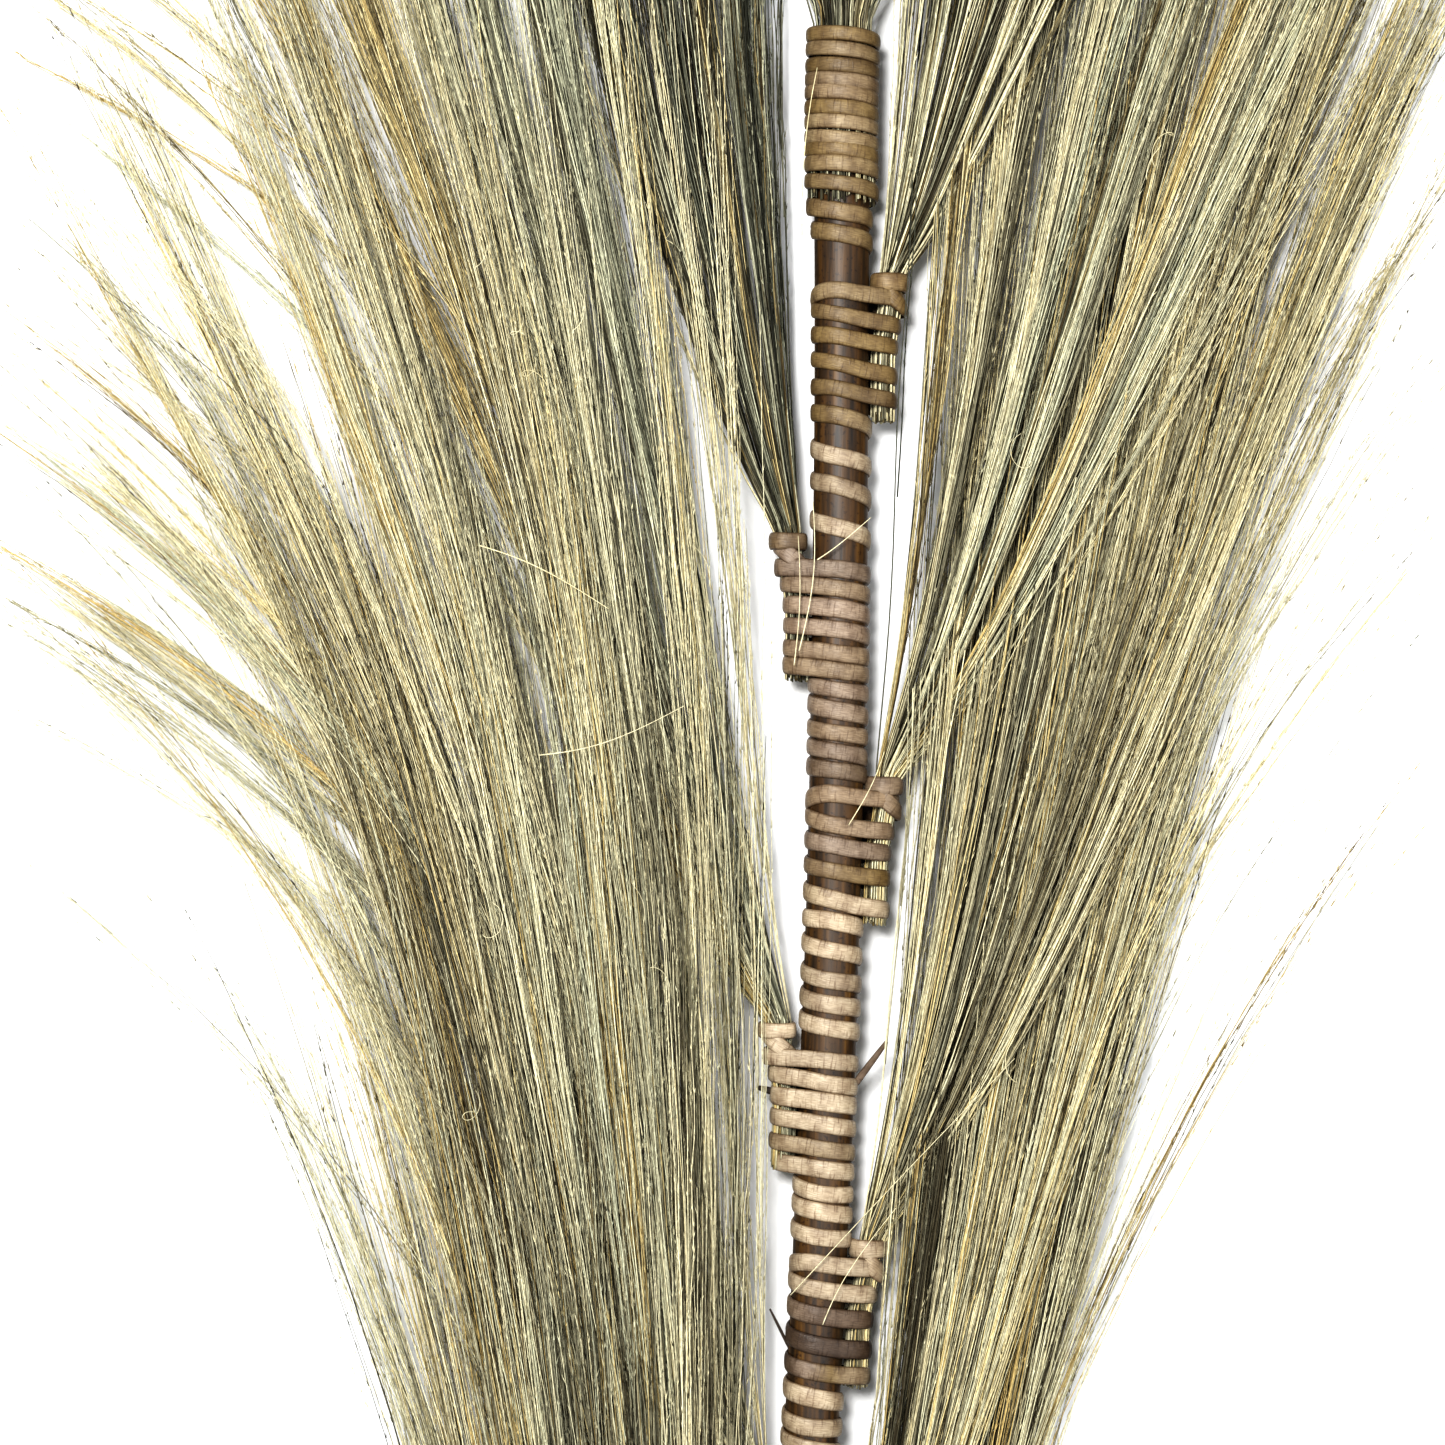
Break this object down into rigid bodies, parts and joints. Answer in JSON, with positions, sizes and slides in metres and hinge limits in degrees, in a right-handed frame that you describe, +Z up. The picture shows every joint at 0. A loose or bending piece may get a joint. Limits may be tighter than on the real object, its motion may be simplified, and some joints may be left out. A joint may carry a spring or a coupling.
{
  "type": "bundle of rayung grass",
  "caption": "Tufts of dried rayung grass tied left and right along a crooked cane pole, wound with split cane strip, lying flat",
  "frame": {"origin": "under the middle of the bundle's box, on the surface that it lies on", "axes": "+Y along the pole towards the tips, +Z up from the surface, +X to the right as seen from above"},
  "size_m": [0.6036, 1.894, 0.052],
  "materials": {
    "grass": "matt dry grass, straw to olive green",
    "cane": "satin split cane",
    "pole": "satin dark cane bark"
  },
  "bodies": {
    "root": {"pole": "pole", "tuft_top": "grass", "binding_top": "cane", "tuft_right_1": "grass", "binding_right_1": "cane", "tuft_left_1": "grass", "binding_left_1": "cane", "tuft_right_2": "grass", "binding_right_2": "cane", "tuft_left_2": "grass", "binding_left_2": "cane", "tuft_right_3": "grass", "binding_right_3": "cane", "tuft_left_3": "grass", "binding_left_3": "cane", "tuft_right_4": "grass", "binding_right_4": "cane", "tuft_left_4": "grass", "binding_left_4": "cane", "tuft_right_5": "grass", "binding_right_5": "cane", "tuft_left_5": "grass", "binding_left_5": "cane"}
  },
  "joints": []
}
